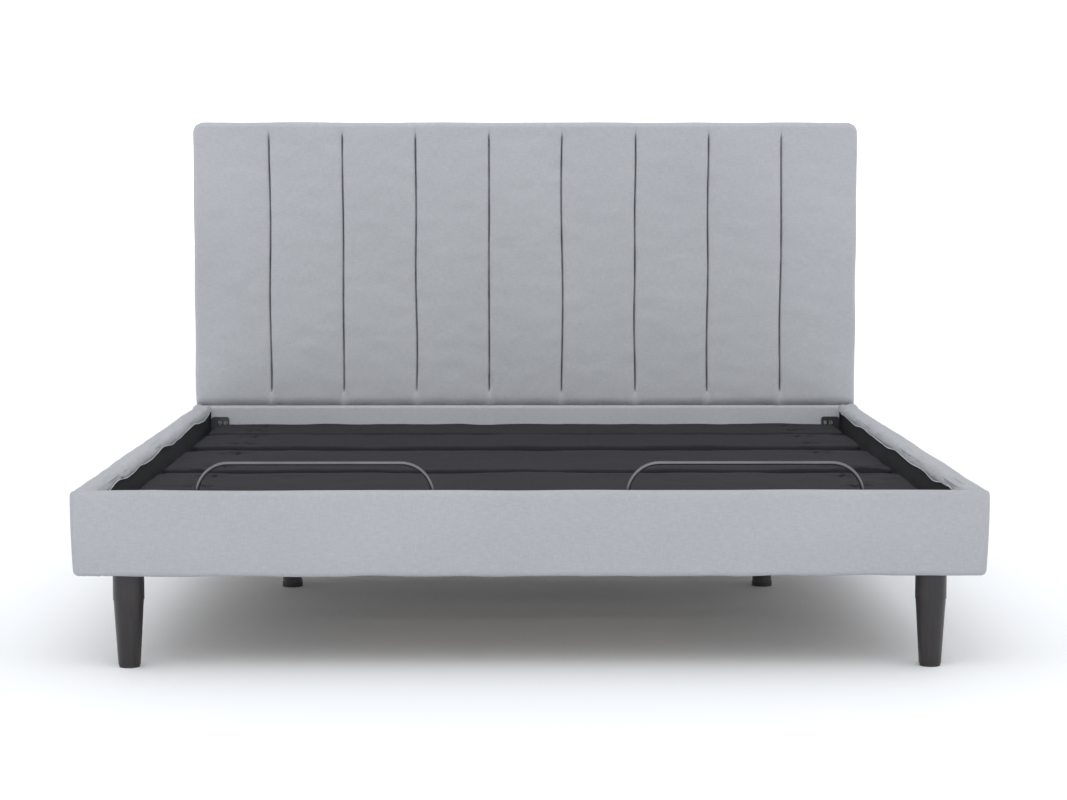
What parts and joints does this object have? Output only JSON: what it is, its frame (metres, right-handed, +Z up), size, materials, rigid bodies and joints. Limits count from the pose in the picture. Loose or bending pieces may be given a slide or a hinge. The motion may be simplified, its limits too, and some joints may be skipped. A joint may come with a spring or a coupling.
{
  "type": "adjustable bed base",
  "caption": "King-size adjustable bed base with hinged deck sections, lift actuators and retainer bars, set inside an upholstered surround with a channelled headboard.",
  "frame": {"origin": "on the floor below the centre of the outline", "axes": "+X to the right seen from the foot, +Y to the head, +Z up"},
  "size_m": [2.04, 2.22, 1.269],
  "materials": {
    "rail_fabric": "light cool grey woven upholstery, matt",
    "deck_fabric": "charcoal knitted ticking, matt",
    "lining": "thin black nonwoven lining",
    "timber": "raw pine and plywood",
    "leg_wood": "dark espresso stain, satin",
    "black_steel": "black powder coat",
    "zinc_steel": "zinc plated",
    "bar_steel": "grey powder coat, satin",
    "rod_steel": "ground and polished",
    "black_screws": "black oxide",
    "black_plastic": "fine moulded texture",
    "rubber": "matt"
  },
  "bodies": {
    "bed_frame": {"headboard_frame": "timber", "headboard_board": "timber", "headboard_channel_pad": "rail_fabric", "headboard_lower_pad": "rail_fabric", "headboard_back_cover": "lining", "headboard_brackets": "black_steel", "headboard_bracket_bolts": "zinc_steel", "side_rail_boards": "timber", "side_rail_padding_left": "rail_fabric", "side_rail_padding_right": "rail_fabric", "foot_rail_board": "timber", "foot_rail_padding": "rail_fabric", "rail_linings": "lining", "rail_blocks": "timber", "leg_collars": "leg_wood", "leg_tapers": "leg_wood", "leg_glides": "black_plastic", "leg_studs": "zinc_steel", "chassis_side_rails": "black_steel", "chassis_cross_members": "black_steel", "base_legs": "black_steel", "base_leg_glides": "black_plastic", "pivot_bearings": "zinc_steel", "rest_bumpers": "rubber", "actuator_brackets": "black_steel", "control_box": "black_plastic", "power_supply": "black_plastic", "seat_frame": "black_steel", "seat_board": "timber", "seat_cover": "deck_fabric", "seat_screws": "black_screws", "back_actuator_housing": "black_plastic", "leg_actuator_housing": "black_plastic"},
    "back_section": {"back_torque_tube": "black_steel", "back_frame": "black_steel", "back_board": "timber", "back_cover": "deck_fabric", "back_screws": "black_screws", "pillow_actuator_housing": "black_plastic"},
    "pillow_section": {"pillow_frame": "black_steel", "pillow_pins": "zinc_steel", "pillow_board": "timber", "pillow_cover": "deck_fabric", "pillow_screws": "black_screws"},
    "thigh_section": {"thigh_torque_tube": "black_steel", "thigh_frame": "black_steel", "knee_pins": "zinc_steel", "thigh_board": "timber", "thigh_cover": "deck_fabric", "thigh_screws": "black_screws"},
    "calf_section": {"calf_frame": "black_steel", "calf_link_brackets": "black_steel", "calf_board": "timber", "calf_cover": "deck_fabric", "calf_screws": "black_screws", "retainer_bars": "bar_steel"},
    "foot_link_pair": {"foot_links": "black_steel"},
    "back_rod": {"back_actuator_rod": "rod_steel"},
    "leg_rod": {"leg_actuator_rod": "rod_steel"},
    "pillow_rod": {"pillow_actuator_rod": "rod_steel"}
  },
  "joints": [
    {"name": "back_lift", "type": "hinge", "parent": "bed_frame", "child": "back_section", "pos_m": [0, 0.302, 0.3], "axis": [1, 0, 0], "range_deg": [0, 60]},
    {"name": "pillow_tilt", "type": "hinge", "parent": "back_section", "child": "pillow_section", "pos_m": [0, 0.706, 0.303], "axis": [1, 0, 0], "range_deg": [0, 30]},
    {"name": "leg_lift", "type": "hinge", "parent": "bed_frame", "child": "thigh_section", "pos_m": [0, -0.252, 0.3], "axis": [-1, 0, 0], "range_deg": [0, 40]},
    {"name": "calf_fold", "type": "hinge", "parent": "thigh_section", "child": "calf_section", "pos_m": [0, -0.662, 0.3], "axis": [-1, 0, 0], "range_deg": [-40, 0]},
    {"name": "link_swing", "type": "hinge", "parent": "bed_frame", "child": "foot_link_pair", "pos_m": [0, -0.512, 0.25], "axis": [-1, 0, 0], "range_deg": [0, 40]},
    {"name": "back_actuator_extend", "type": "slide", "parent": "bed_frame", "child": "back_rod", "axis": [0, 1, 0], "range_m": [0, 0.1157]},
    {"name": "leg_actuator_extend", "type": "slide", "parent": "bed_frame", "child": "leg_rod", "axis": [0, -1, 0], "range_m": [0, 0.073]},
    {"name": "pillow_actuator_extend", "type": "slide", "parent": "back_section", "child": "pillow_rod", "axis": [0, 1, 0], "range_m": [0, 0.0324]}
  ],
  "couplings": [
    {"joint": "calf_fold", "follows": "leg_lift", "ratio": -1},
    {"joint": "link_swing", "follows": "leg_lift", "ratio": 1},
    {"joint": "leg_actuator_extend", "follows": "leg_lift", "m_per_rad": 0.10427},
    {"joint": "back_actuator_extend", "follows": "back_lift", "m_per_rad": 0.11027},
    {"joint": "pillow_actuator_extend", "follows": "pillow_tilt", "m_per_rad": 0.061409}
  ]
}
